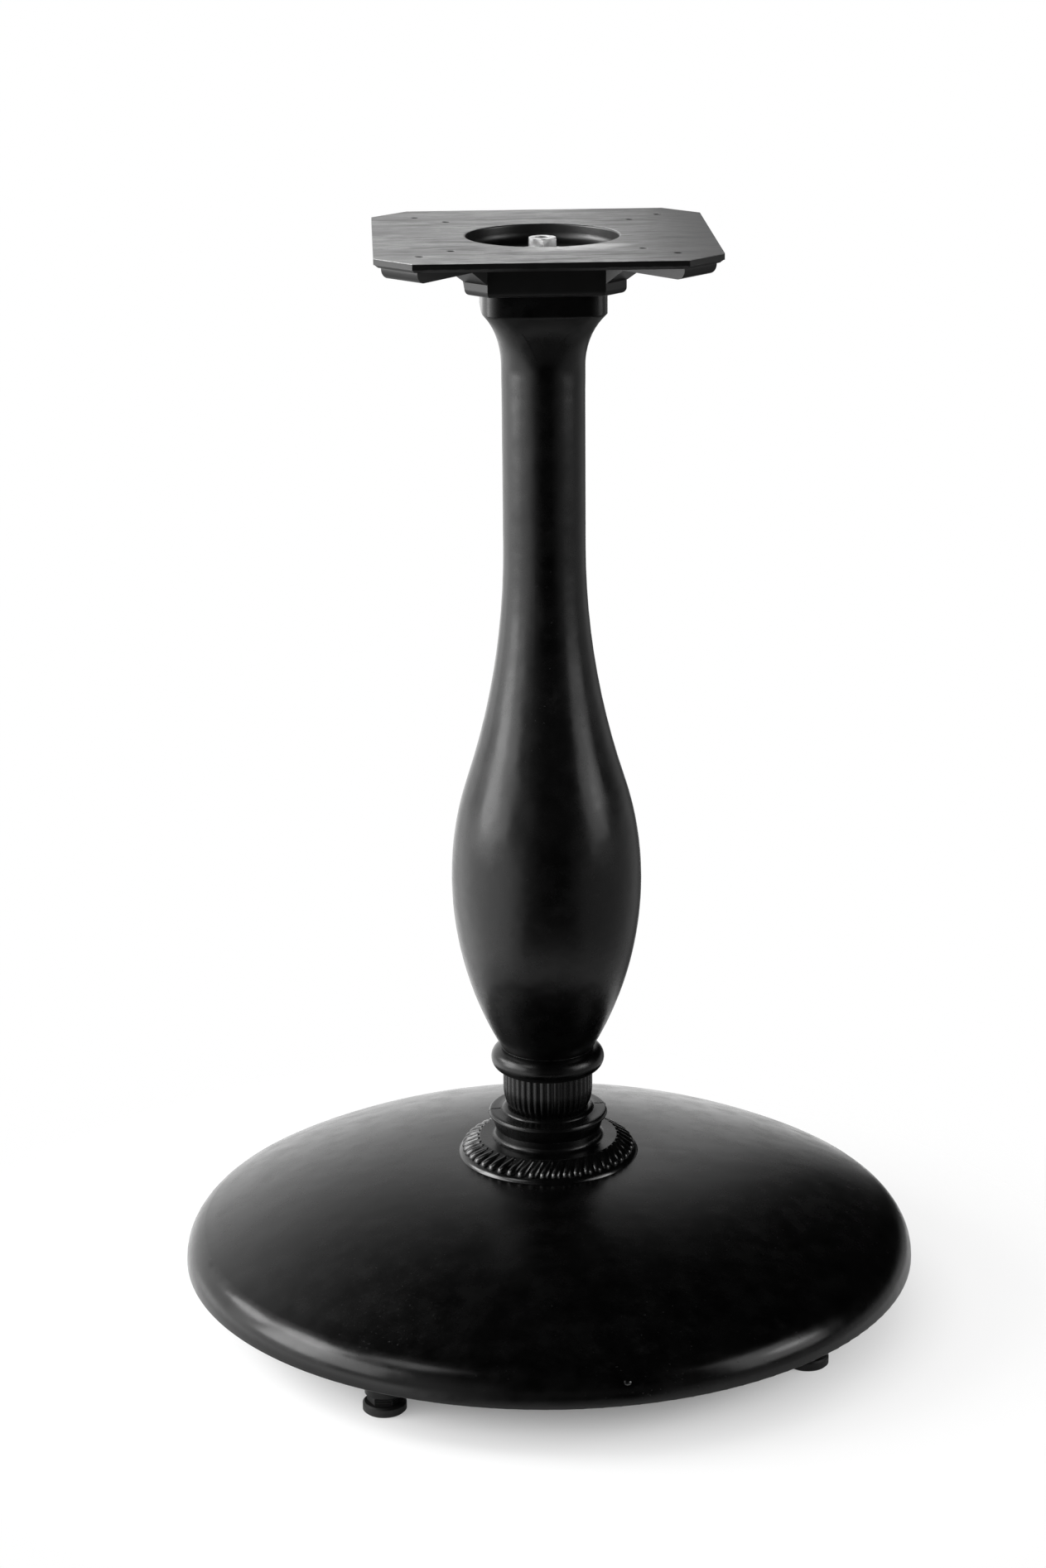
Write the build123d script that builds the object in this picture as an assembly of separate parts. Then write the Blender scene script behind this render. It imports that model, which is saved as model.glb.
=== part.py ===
from build123d import *
import os
from math import cos, hypot, radians, sin, sqrt, tan

# Pedestal table base: a cast dome on four levelling glides, a cast baluster column,
# a cast top plate, and one tie rod that clamps the three castings together.
# Millimetres. Origin on the floor under the column's axis, +Z up, plate sides along X and Y.

# Overall height, which the column's straight neck makes up
TOTAL_HEIGHT = 740.0

# Clearances and seats
SLIP = 0.3              # gap beside a casting that drops over or into another
SWIVEL_GAP = 0.3        # gap around pieces that turn in or under one another
THREAD_GAP = 0.05       # radial gap of a thread that turns
NUT_THREAD_GAP = 0.02   # radial gap of a tightened nut on its rod
ROD_HOLE_GAP = 0.5      # radial gap of the tie rod in its holes

# Levelling glides
GLIDE_COUNT = 4
GLIDE_INSET = 47.0          # from the rim in to a glide's axis
GLIDE_TURN = 10.1           # degrees past the plate's diagonals
PAD_RADIUS = 14.4
PAD_HEIGHT = 6.8
PAD_EDGE = 1.2
COLLAR_ACROSS_FLATS = 20.0
COLLAR_HEIGHT = 5.6
STUD_RADIUS = 5.0
STUD_LENGTH = 40.0
STUD_NECK_RADIUS = 4.0
STUD_HEAD_RADIUS = 6.5
STUD_HEAD_HEIGHT = 2.0
PAD_FLOOR = 1.8
STUD_POINT = 1.0

# Base casting
RIM_RADIUS = 250.0
RIM_CLEARANCE = 37.5        # floor to the underside of the rim
RIM_LIP = 2.4               # straight part of the rim below its roll
RIM_ROLL_RADIUS = 24.0
RIM_FOOT_ROUND = 1.0
CROWN_ARC_RADIUS = 396.0
BASE_WALL = 7.0
RING_FOOT_HEIGHT = 72.5     # rim underside to the dome's surface beside the rope ring
RING_RADIUS = 60.0
RING_LIP = 2.0
RING_LIP_WIDTH = 1.4
RING_INNER_RADIUS = 47.0
RING_RISE = 9.5             # from the ring's lip to its inner edge
COLLAR_RADIUS = 35.7        # round foot that the column stands on
COLLAR_FOOT_ROUND = 3.0
COLLAR_RISE = 7.4           # from the ring's inner edge to the seat
LOBE_COUNT = 46
LOBE_LENGTH = 14.5
LOBE_RADIUS = 3.3
LOBE_TIP_RADIUS = 1.4       # at its inner end
LOBE_HEEL = 4.0             # from its widest place to its outer end
LOBE_SINK = 0.9
LOBE_SLANT = 24.0           # degrees away from the radius
HUB_RADIUS = 34.0
HUB_POCKET_RADIUS = 25.0
HUB_WEB = 16.0
HUB_DEPTH = 46.0            # seat to the hub's lower edge
SPIGOT_HEIGHT = 5.0
RIB_THICKNESS = 7.0
RIB_DEPTH = 16.0            # below the dome's inner face at the glide boss
BOSS_RADIUS = 13.0
BOSS_DRAFT = 2.0            # degrees

# Column casting, heights from its foot
COLUMN_WALL = 7.0
NECK_RADIUS = 27.1
BELLY_RADIUS = 63.7
BELLY_HEIGHT = 179.4
BELLY_LOWER_ARC = 241.5
BELLY_UPPER_ARC = 221.0
NECK_ARC = 508.0
BEAD_HEIGHT = 50.3
BEAD_RADIUS = 38.5
BEAD_TUBE_RADIUS = 8.0
PLINTH_FOOT_RADIUS = 36.2
PLINTH_LIP_RADIUS = 40.2
PLINTH_LIP_ROUND = 1.5
PLINTH_HEIGHT = 12.1
PLINTH_CHANNEL = 1.0        # lip to the floor inside it
PLINTH_SWELL = 4.5          # width of the round swell about the cup's foot
CUP_FOOT_HEIGHT = 14.7
CUP_FOOT_RADIUS = 26.3
CUP_RADIUS = 30.4
CUP_SHOULDER_HEIGHT = 30.3
REED_COUNT = 40
REED_RADIUS = 1.9
REED_DEPTH = 1.3            # how far a reed stands out of the cup's core
FLARE_LENGTH = 38.1
FLARE_STRAIGHT = 6.0        # round neck that the flare grows out of
FLAT_ANGLE = 8.0            # degrees of the neck each side of a flat's lower tip
FLARE_SECTIONS = 4          # steps between the round and the square outline
BLOCK_SIDE = 79.4
BLOCK_CORNER = 12.5
BLOCK_BAND = 14.2           # part of the block that shows under the top plate
TENON_HEIGHT = 10.0         # part of the block that the top plate covers

# Top plate casting
PLATE_SIDE = 217.0
PLATE_CORNER_CUT = 23.5
PLATE_EDGE = 6.0
PLATE_STEP = 0.5            # set-back of the lower part of the edge at the mould joint
PLATE_EDGE_LEAN = 2.5       # how far the lower part of the edge then leans in
PLATE_UPPER_EDGE = 4.0
PLATE_WEB = 10.0            # between the recess and the column's pocket
RECESS_RADIUS = 49.0
RECESS_DEPTH = 12.0
RECESS_FILLET = 6.0
RECESS_EDGE = 1.5
BOSS_SIDE = 102.5
BOSS_CORNER_CUT = 14.0
BOSS_EDGE_ROUND = 4.0
ARM_END_WIDTH = 31.0
ARM_DEPTH = 7.5
ARM_INSET = 5.5
ARM_END_ROUND = 6.5
HAUNCH_LENGTH = 15.0        # where an arm's underside slopes down to the boss
HAUNCH_DROP = 10.0
SCREW_HOLE_RADIUS = 2.75
OUTER_HOLE_SQUARE = 160.0
INNER_HOLE_SQUARE = 120.0

# Tie rod, nuts and washers
ROD_RADIUS = 5.0
ROD_END_CHAMFER = 1.0
NUT_ACROSS_FLATS = 17.0
NUT_HEIGHT = 8.0
NUT_CHAMFER = 1.2           # how far the chamfer reaches in from a corner
NUT_CHAMFER_ANGLE = 30.0    # degrees
NUT_TURN = 2.0              # degrees from a corner facing the front
WASHER_RADIUS = 16.0
WASHER_THICKNESS = 2.5
ROD_END_DROP = 1.5          # rod's end below the face of its upper nut
ROD_TAIL = 5.0              # rod's end below its lower nut

# Levels above the floor
COLLAR_UNDER = PAD_HEIGHT + SWIVEL_GAP
COLLAR_OVER = COLLAR_UNDER + COLLAR_HEIGHT
BOSS_UNDER = COLLAR_OVER + SWIVEL_GAP
RIM_UNDER = RIM_CLEARANCE
RING_FOOT = RIM_UNDER + RING_FOOT_HEIGHT
RING_INNER = RING_FOOT + RING_LIP + RING_RISE
SEAT = RING_INNER + COLLAR_RISE
PLATE_TOP = TOTAL_HEIGHT
RECESS_FLOOR = PLATE_TOP - RECESS_DEPTH
COLUMN_TOP = RECESS_FLOOR - PLATE_WEB
PLATE_UNDER = PLATE_TOP - PLATE_EDGE
BOSS_FACE = COLUMN_TOP - TENON_HEIGHT
HUB_CEILING = SEAT - HUB_WEB

# Column heights from its foot
COLUMN_LENGTH = COLUMN_TOP - SEAT
BLOCK_FOOT = COLUMN_LENGTH - TENON_HEIGHT - BLOCK_BAND
FLARE_HEIGHT = BLOCK_FOOT - FLARE_LENGTH

# Radii shared by two pieces
COLUMN_BORE = NECK_RADIUS - COLUMN_WALL
ROD_HOLE_RADIUS = ROD_RADIUS + ROD_HOLE_GAP
GLIDE_CIRCLE_RADIUS = RIM_RADIUS - GLIDE_INSET


def toward(start, target, distance):
    """Point at a distance from start on the line through target."""
    share = distance / hypot(target[0] - start[0], target[1] - start[1])
    return (start[0] + share * (target[0] - start[0]), start[1] + share * (target[1] - start[1]))


def arc_between(start, end, centre):
    """Circular arc about a centre, the short way from start to end."""
    chord_middle = ((start[0] + end[0]) / 2, (start[1] + end[1]) / 2)
    radius = hypot(start[0] - centre[0], start[1] - centre[1])
    return ThreePointArc(start, toward(centre, chord_middle, radius), end)


def turned(*edges):
    """Solid of revolution about Z from edges drawn as (radius, height)."""
    return revolve(make_face([Plane.XZ * edge for edge in edges]), Axis.Z)


def path(*points):
    """Straight edges through points."""
    return [Line(a, b) for a, b in zip(points, points[1:])]


def tube(outer, inner, low, high):
    """Upright cylinder with a round hole."""
    return Pos(0, 0, low) * extrude(Circle(outer) - Circle(inner), high - low)


def rod(radius, low, high):
    """Upright cylinder."""
    return Pos(0, 0, low) * extrude(Circle(radius), high - low)


def hexagon(across_flats):
    """Hexagon with a corner on +X."""
    return RegularPolygon(across_flats / 2, 6, major_radius=False)


def clipped_square(side, cut):
    """Square with its corners cut off at 45 degrees."""
    square = Rectangle(side, side)
    return chamfer(square.vertices(), cut)


def meeting(centre_a, radius_a, centre_b, radius_b):
    """The two points shared by two circles, the lower one first."""
    across, up = centre_b[0] - centre_a[0], centre_b[1] - centre_a[1]
    span = hypot(across, up)
    along = (radius_a ** 2 - radius_b ** 2 + span ** 2) / (2 * span)
    beside = sqrt(radius_a ** 2 - along ** 2)
    foot = (centre_a[0] + along * across / span, centre_a[1] + along * up / span)
    shift = (-up / span * beside, across / span * beside)
    points = [(foot[0] + s * shift[0], foot[1] + s * shift[1]) for s in (1, -1)]
    return sorted(points, key=lambda point: point[1])


# Dome surface: the rim's roll runs into one crown arc that ends beside the rope ring
ROLL_CENTRE = (RIM_RADIUS - RIM_ROLL_RADIUS, RIM_UNDER + RIM_LIP)
CROWN_END = (RING_RADIUS, RING_FOOT)
CROWN_CENTRE = meeting(ROLL_CENTRE, CROWN_ARC_RADIUS - RIM_ROLL_RADIUS, CROWN_END, CROWN_ARC_RADIUS)[0]


def crown_height(radius, depth):
    """Height of the surface that lies a depth under the crown, at a radius from the axis."""
    return CROWN_CENTRE[1] + sqrt((CROWN_ARC_RADIUS - depth) ** 2 - (radius - CROWN_CENTRE[0]) ** 2)


def bell(depth, low):
    """Solid under the dome's surface taken in by a depth, down to a low level."""
    side = RIM_RADIUS - depth
    roll_start = (side, ROLL_CENTRE[1])
    roll_end = toward(CROWN_CENTRE, ROLL_CENTRE, CROWN_ARC_RADIUS - depth)
    crown_top = (0, crown_height(0, depth))
    return turned(
        *path(crown_top, (0, low), (side, low), roll_start),
        arc_between(roll_start, roll_end, ROLL_CENTRE),
        arc_between(roll_end, crown_top, CROWN_CENTRE),
    )


def glide_places():
    """Turns about Z that bring a piece on +X to each glide."""
    step = 360 / GLIDE_COUNT
    return [Rot(0, 0, step / 2 + GLIDE_TURN + step * index) for index in range(GLIDE_COUNT)]


def base_outside():
    """Outer form of the base casting: rim, crown, ring seat and the foot for the column."""
    roll_start = (RIM_RADIUS, ROLL_CENTRE[1])
    roll_end = toward(CROWN_CENTRE, ROLL_CENTRE, CROWN_ARC_RADIUS)
    foot_low = (RIM_RADIUS - RIM_FOOT_ROUND, RIM_UNDER)
    foot_high = (RIM_RADIUS, RIM_UNDER + RIM_FOOT_ROUND)
    foot_centre = (foot_low[0], foot_high[1])
    lip_top = RING_FOOT + RING_LIP
    fillet_low = (COLLAR_RADIUS + COLLAR_FOOT_ROUND, RING_INNER)
    fillet_high = (COLLAR_RADIUS, RING_INNER + COLLAR_FOOT_ROUND)
    fillet_centre = (fillet_low[0], fillet_high[1])
    return turned(
        *path((0, SEAT), (0, RIM_UNDER), foot_low),
        arc_between(foot_low, foot_high, foot_centre),
        Line(foot_high, roll_start),
        arc_between(roll_start, roll_end, ROLL_CENTRE),
        arc_between(roll_end, CROWN_END, CROWN_CENTRE),
        *path(
            CROWN_END,
            (RING_RADIUS, lip_top),
            (RING_RADIUS - RING_LIP_WIDTH, lip_top),
            (RING_INNER_RADIUS, RING_INNER),
            fillet_low,
        ),
        arc_between(fillet_low, fillet_high, fillet_centre),
        *path(fillet_high, (COLLAR_RADIUS, SEAT), (0, SEAT)),
    )


def rope_lobes():
    """Teardrop lobes that lie side by side on the ring's slope, each set askew."""
    outer = (RING_RADIUS - RING_LIP_WIDTH, RING_FOOT + RING_LIP)
    inner = (RING_INNER_RADIUS, RING_INNER)
    slope = Vector(outer[0] - inner[0], 0, outer[1] - inner[1]).normalized()
    normal = Vector(-slope.Z, 0, slope.X)
    middle = Vector((outer[0] + inner[0]) / 2, 0, (outer[1] + inner[1]) / 2) - normal * LOBE_SINK
    half = LOBE_LENGTH / 2
    tip = (-half, LOBE_TIP_RADIUS)
    widest = (half - LOBE_HEEL, LOBE_RADIUS)
    heel = (half, LOBE_TIP_RADIUS)
    outline = Polyline((-half, 0), tip, widest, heel, (half, 0), close=True)
    teardrop = revolve(make_face(outline), Axis.X)
    lobe = Plane(middle, x_dir=slope, z_dir=normal) * Rot(0, 0, -LOBE_SLANT) * teardrop
    return [Rot(0, 0, 360 / LOBE_COUNT * index) * lobe for index in range(LOBE_COUNT)]


def base_ribs():
    """Ribs under the dome from the hub to each glide boss."""
    hub_end = HUB_RADIUS - BASE_WALL / 2
    outer_low = crown_height(GLIDE_CIRCLE_RADIUS, BASE_WALL) - RIB_DEPTH
    web = Polyline(
        (hub_end, SEAT - HUB_DEPTH),
        (GLIDE_CIRCLE_RADIUS, outer_low),
        (GLIDE_CIRCLE_RADIUS, RING_FOOT),
        (hub_end, RING_FOOT),
        close=True,
    )
    rib = extrude(Plane.XZ * make_face(web), RIB_THICKNESS / 2, both=True)
    return [place * rib for place in glide_places()]


def base_bosses():
    """Tapered bosses that take the glides' threads."""
    height = RING_FOOT - BOSS_UNDER
    top_radius = BOSS_RADIUS + height * tan(radians(BOSS_DRAFT))
    boss = Pos(GLIDE_CIRCLE_RADIUS, 0, BOSS_UNDER + height / 2) * Cone(BOSS_RADIUS, top_radius, height)
    return [place * boss for place in glide_places()]


def base_dome():
    """Dome casting with its rope ring, hub, ribs and glide bosses."""
    root = BASE_WALL / 2
    shell = base_outside() - bell(BASE_WALL, RIM_UNDER)
    under = [part & bell(root, BOSS_UNDER) for part in base_ribs() + base_bosses()]
    hub = tube(HUB_RADIUS, HUB_POCKET_RADIUS, SEAT - HUB_DEPTH, crown_height(HUB_RADIUS, root))
    spigot = rod(COLUMN_BORE - SLIP, HUB_CEILING, SEAT + SPIGOT_HEIGHT)
    casting = shell + under + hub - rod(HUB_POCKET_RADIUS, SEAT - HUB_DEPTH, HUB_CEILING) + spigot
    casting -= rod(ROD_HOLE_RADIUS, HUB_CEILING, SEAT + SPIGOT_HEIGHT)
    thread = rod(STUD_RADIUS + THREAD_GAP, BOSS_UNDER, BOSS_UNDER + STUD_LENGTH)
    casting -= [place * Pos(GLIDE_CIRCLE_RADIUS, 0, 0) * thread for place in glide_places()]
    return casting + rope_lobes()


# Column profile: belly arcs below and above, then a long arc into the straight neck
LOWER_CENTRE = (BELLY_RADIUS - BELLY_LOWER_ARC, BELLY_HEIGHT)
UPPER_CENTRE = (BELLY_RADIUS - BELLY_UPPER_ARC, BELLY_HEIGHT)
NECK_REACH = NECK_RADIUS + NECK_ARC - UPPER_CENTRE[0]
NECK_START = BELLY_HEIGHT + sqrt((BELLY_UPPER_ARC + NECK_ARC) ** 2 - NECK_REACH ** 2)
NECK_CENTRE = (NECK_RADIUS + NECK_ARC, NECK_START)
BEAD_CENTRE = (BEAD_RADIUS - BEAD_TUBE_RADIUS, BEAD_HEIGHT)
CUP_ARC = ((CUP_SHOULDER_HEIGHT - CUP_FOOT_HEIGHT) ** 2 + (CUP_RADIUS - CUP_FOOT_RADIUS) ** 2) / (
    2 * (CUP_RADIUS - CUP_FOOT_RADIUS)
)
CUP_CENTRE = (CUP_RADIUS - CUP_ARC, CUP_SHOULDER_HEIGHT)


def belly_edges(start, depth):
    """Belly and neck arcs taken in by a depth, from a start on the lower arc to the straight neck."""
    widest = (BELLY_RADIUS - depth, BELLY_HEIGHT)
    turn = toward(UPPER_CENTRE, NECK_CENTRE, BELLY_UPPER_ARC - depth)
    neck = (NECK_RADIUS - depth, NECK_START)
    return [
        arc_between(start, widest, LOWER_CENTRE),
        arc_between(widest, turn, UPPER_CENTRE),
        arc_between(turn, neck, NECK_CENTRE),
    ]


def cup_edges(depth, low):
    """Side of the reeded cup taken in by a depth, from a low level up to the bead."""
    radius = CUP_ARC - depth
    foot = (CUP_CENTRE[0] + sqrt(radius ** 2 - (CUP_SHOULDER_HEIGHT - low) ** 2), low)
    shoulder = (CUP_RADIUS - depth, CUP_SHOULDER_HEIGHT)
    under_bead = BEAD_HEIGHT - sqrt(BEAD_TUBE_RADIUS ** 2 - (shoulder[0] - BEAD_CENTRE[0]) ** 2)
    top = (shoulder[0], under_bead)
    return foot, top, [arc_between(foot, shoulder, CUP_CENTRE), Line(shoulder, top)]


def column_turned():
    """Turned part of the column: plinth, cup core, bead, belly and neck."""
    lip_radius = PLINTH_LIP_RADIUS - PLINTH_LIP_ROUND
    lip_low = (lip_radius, PLINTH_HEIGHT - 2 * PLINTH_LIP_ROUND)
    lip_out = (PLINTH_LIP_RADIUS, PLINTH_HEIGHT - PLINTH_LIP_ROUND)
    lip_high = (lip_radius, PLINTH_HEIGHT)
    floor = PLINTH_HEIGHT - PLINTH_CHANNEL
    cup_foot, cup_top, cup = cup_edges(REED_DEPTH, CUP_FOOT_HEIGHT)
    shoulder = (CUP_FOOT_RADIUS + REED_DEPTH, CUP_FOOT_HEIGHT)
    swell_foot = (shoulder[0] + PLINTH_SWELL, floor)
    swell = (
        shoulder[0] + PLINTH_SWELL * cos(radians(45)),
        floor + (CUP_FOOT_HEIGHT - floor) * sin(radians(45)),
    )
    belly_foot = meeting(BEAD_CENTRE, BEAD_TUBE_RADIUS, LOWER_CENTRE, BELLY_LOWER_ARC)[1]
    neck_top = FLARE_HEIGHT - FLARE_STRAIGHT
    bead_out = (BEAD_RADIUS, BEAD_HEIGHT)
    return turned(
        *path((0, 0), (PLINTH_FOOT_RADIUS, 0), lip_low),
        ThreePointArc(lip_low, lip_out, lip_high),
        *path(lip_high, (lip_radius - PLINTH_CHANNEL, floor), swell_foot),
        ThreePointArc(swell_foot, swell, shoulder),
        Line(shoulder, cup_foot),
        *cup,
        ThreePointArc(cup_top, bead_out, belly_foot),
        *belly_edges(belly_foot, 0),
        *path((NECK_RADIUS, NECK_START), (NECK_RADIUS, neck_top), (0, neck_top), (0, 0)),
    )


def cup_reeds():
    """Upright beads round the cup, each a round bar in three straight lengths that follow its side."""
    curve, wall = cup_edges(REED_RADIUS, PLINTH_HEIGHT)[2]
    spine = Plane.XZ * Polyline(curve @ 0, curve @ 0.5, curve @ 1, wall @ 1)
    section = Plane(spine @ 0, z_dir=spine % 0) * Circle(REED_RADIUS)
    reed = sweep(section, spine, transition=Transition.RIGHT)
    return [Rot(0, 0, 360 / REED_COUNT * index) * reed for index in range(REED_COUNT)]


def flare_section(share):
    """Outline between the round neck at share 0 and the rounded square block at share 1."""
    growth = BLOCK_SIDE / 2 - NECK_RADIUS
    arc = (FLARE_LENGTH ** 2 + growth ** 2) / (2 * growth)
    half = NECK_RADIUS + arc - sqrt(arc ** 2 - (share * FLARE_LENGTH) ** 2)
    round_end = (half * cos(radians(FLAT_ANGLE)), half * sin(radians(FLAT_ANGLE)))
    square_end = (half, half - BLOCK_CORNER)
    flat_end = tuple(low + share * (high - low) for low, high in zip(round_end, square_end))
    square_corner = sqrt(2) * (half - BLOCK_CORNER) + BLOCK_CORNER
    corner = (half + share * (square_corner - half)) * sqrt(0.5)
    flat_start = (flat_end[0], -flat_end[1])
    flat = Line(flat_start, flat_end) if share == 1 else ThreePointArc(flat_start, (half, 0), flat_end)
    bend = ThreePointArc(flat_end, (corner, corner), (flat_end[1], flat_end[0]))
    return make_face([Rot(0, 0, 90 * quarter) * edge for quarter in range(4) for edge in (flat, bend)])


def column_flare():
    """Flare that turns the round neck into the square block."""
    neck = Pos(0, 0, FLARE_HEIGHT - FLARE_STRAIGHT) * flare_section(0)
    shares = [step / FLARE_SECTIONS for step in range(FLARE_SECTIONS + 1)]
    grown = [Pos(0, 0, FLARE_HEIGHT + share * FLARE_LENGTH) * flare_section(share) for share in shares]
    return loft([neck] + grown)


def column_hollow():
    """Space inside the column: a straight bore that opens out in the belly."""
    arc = BELLY_LOWER_ARC - COLUMN_WALL
    low = BELLY_HEIGHT - sqrt(arc ** 2 - (COLUMN_BORE - LOWER_CENTRE[0]) ** 2)
    start = (COLUMN_BORE, low)
    belly = turned(
        *path((0, low), start),
        *belly_edges(start, COLUMN_WALL),
        *path((COLUMN_BORE, NECK_START), (0, NECK_START), (0, low)),
    )
    return rod(COLUMN_BORE, 0, COLUMN_LENGTH) + belly


def column():
    """Baluster casting, standing on the seat of the dome."""
    outline = RectangleRounded(BLOCK_SIDE, BLOCK_SIDE, BLOCK_CORNER)
    block = Pos(0, 0, BLOCK_FOOT) * extrude(outline, BLOCK_BAND + TENON_HEIGHT)
    casting = column_turned() + column_flare() + block + cup_reeds() - column_hollow()
    return Pos(0, 0, SEAT) * casting


def plate_octagon(inset):
    """Plan of the plate with all its eight sides set in by the same distance."""
    return clipped_square(PLATE_SIDE - 2 * inset, PLATE_CORNER_CUT - (2 - sqrt(2)) * inset)


def plate_arm():
    """Arm from the boss to a clipped corner on +X, wider at its rounded end, with a haunch."""
    end = (PLATE_SIDE - PLATE_CORNER_CUT) * sqrt(0.5) - ARM_INSET
    root = (BOSS_SIDE - BOSS_CORNER_CUT) * sqrt(0.5)
    low = PLATE_UNDER - ARM_DEPTH
    top = PLATE_UNDER + PLATE_EDGE / 2
    side = (end, low + ARM_END_ROUND)
    foot = (end - ARM_END_ROUND, low)
    haunch = (root + HAUNCH_LENGTH, low)
    outline = [
        *path(foot, haunch, (root, low - HAUNCH_DROP), (0, low - HAUNCH_DROP), (0, top), (end, top), side),
        arc_between(side, foot, (foot[0], side[1])),
    ]
    profile = extrude(make_face([Plane.XZ * edge for edge in outline]), ARM_END_WIDTH, both=True)
    half_root = BOSS_CORNER_CUT * sqrt(0.5)
    half_end = ARM_END_WIDTH / 2
    plan = Polygon((0, -half_root), (root, -half_root), (end, -half_end), (end, half_end), (root, half_root),
                   (0, half_root), align=None)
    return profile & Pos(0, 0, low - HAUNCH_DROP) * extrude(plan, top - low + HAUNCH_DROP)


def plate_recess():
    """Round recess in the plate's face, with a soft floor edge and a rounded mouth."""
    floor_end = (RECESS_RADIUS - RECESS_FILLET, RECESS_FLOOR)
    wall_low = (RECESS_RADIUS, RECESS_FLOOR + RECESS_FILLET)
    wall_high = (RECESS_RADIUS, PLATE_TOP - RECESS_EDGE)
    mouth = (RECESS_RADIUS + RECESS_EDGE, PLATE_TOP)
    return turned(
        *path((0, PLATE_TOP), (0, RECESS_FLOOR), floor_end),
        arc_between(floor_end, wall_low, (floor_end[0], wall_low[1])),
        Line(wall_low, wall_high),
        arc_between(wall_high, mouth, (mouth[0], wall_high[1])),
        Line(mouth, (0, PLATE_TOP)),
    )


def top_plate():
    """Plate casting that carries the table top and sits on the column's block."""
    joint = PLATE_TOP - PLATE_UPPER_EDGE
    leaning = [
        Pos(0, 0, PLATE_UNDER) * plate_octagon(PLATE_STEP + PLATE_EDGE_LEAN),
        Pos(0, 0, joint) * plate_octagon(PLATE_STEP),
    ]
    casting = loft(leaning, ruled=True)
    casting += Pos(0, 0, joint) * extrude(plate_octagon(0), PLATE_UPPER_EDGE)
    boss = Pos(0, 0, BOSS_FACE) * extrude(clipped_square(BOSS_SIDE, BOSS_CORNER_CUT), PLATE_UNDER - BOSS_FACE)
    casting += fillet(boss.faces().sort_by(Axis.Z)[0].edges(), BOSS_EDGE_ROUND)
    casting += [Rot(0, 0, 45 + 90 * quarter) * plate_arm() for quarter in range(4)]
    pocket = RectangleRounded(BLOCK_SIDE + 2 * SLIP, BLOCK_SIDE + 2 * SLIP, BLOCK_CORNER + SLIP)
    casting -= Pos(0, 0, BOSS_FACE) * extrude(pocket, TENON_HEIGHT)
    casting -= plate_recess()
    casting -= rod(ROD_HOLE_RADIUS, COLUMN_TOP, RECESS_FLOOR)
    hole = rod(SCREW_HOLE_RADIUS, PLATE_UNDER - ARM_DEPTH, PLATE_TOP)
    for square in (OUTER_HOLE_SQUARE, INNER_HOLE_SQUARE):
        casting -= [place * hole for place in GridLocations(square, square, 2, 2)]
    return casting


# Rod fittings from the top down and from the hub down
TOP_WASHER_FACE = RECESS_FLOOR + WASHER_THICKNESS
TOP_NUT_FACE = TOP_WASHER_FACE + NUT_HEIGHT
BOTTOM_WASHER_FACE = HUB_CEILING - WASHER_THICKNESS
BOTTOM_NUT_FACE = BOTTOM_WASHER_FACE - NUT_HEIGHT


def nut(low):
    """Hexagon nut with both faces chamfered, a corner facing the front."""
    corner = NUT_ACROSS_FLATS / sqrt(3)
    blank = rod(corner, low, low + NUT_HEIGHT)
    rims = blank.edges().filter_by(GeomType.CIRCLE)
    blank = chamfer(rims, NUT_CHAMFER * tan(radians(NUT_CHAMFER_ANGLE)), NUT_CHAMFER)
    body = blank & Pos(0, 0, low) * Rot(0, 0, NUT_TURN - 90) * extrude(hexagon(NUT_ACROSS_FLATS), NUT_HEIGHT)
    return body - rod(ROD_RADIUS + NUT_THREAD_GAP, low, low + NUT_HEIGHT)


def washer(low):
    """Flat washer on the tie rod."""
    return tube(WASHER_RADIUS, ROD_HOLE_RADIUS, low, low + WASHER_THICKNESS)


def tie_rod():
    """Threaded rod through the whole base, with chamfered ends."""
    bar = rod(ROD_RADIUS, BOTTOM_NUT_FACE - ROD_TAIL, TOP_NUT_FACE - ROD_END_DROP)
    return chamfer(bar.edges().filter_by(GeomType.CIRCLE), ROD_END_CHAMFER)


# Glide socket levels
HEAD_UNDER = PAD_FLOOR + SWIVEL_GAP
HEAD_OVER = HEAD_UNDER + STUD_HEAD_HEIGHT
STUD_TOP = COLLAR_OVER + STUD_LENGTH


def glide_pad():
    """Foot pad with a socket for the stud's head."""
    disc = rod(PAD_RADIUS, 0, PAD_HEIGHT)
    disc = chamfer(disc.edges().filter_by(GeomType.CIRCLE), PAD_EDGE)
    socket = rod(STUD_HEAD_RADIUS + SWIVEL_GAP, PAD_FLOOR, HEAD_OVER + SWIVEL_GAP)
    return disc - socket - rod(STUD_NECK_RADIUS + SWIVEL_GAP, HEAD_OVER, PAD_HEIGHT)


def glide_stud():
    """Threaded stud with a hexagon collar for a spanner and a head that sits in the pad."""
    collar = Pos(0, 0, COLLAR_UNDER) * extrude(hexagon(COLLAR_ACROSS_FLATS), COLLAR_HEIGHT)
    shank = rod(STUD_RADIUS, COLLAR_OVER, STUD_TOP)
    shank = chamfer(shank.edges().filter_by(GeomType.CIRCLE).sort_by(Axis.Z)[-1], STUD_POINT)
    neck = rod(STUD_NECK_RADIUS, HEAD_UNDER, COLLAR_UNDER)
    return collar + shank + neck + rod(STUD_HEAD_RADIUS, HEAD_UNDER, HEAD_OVER)


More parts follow.
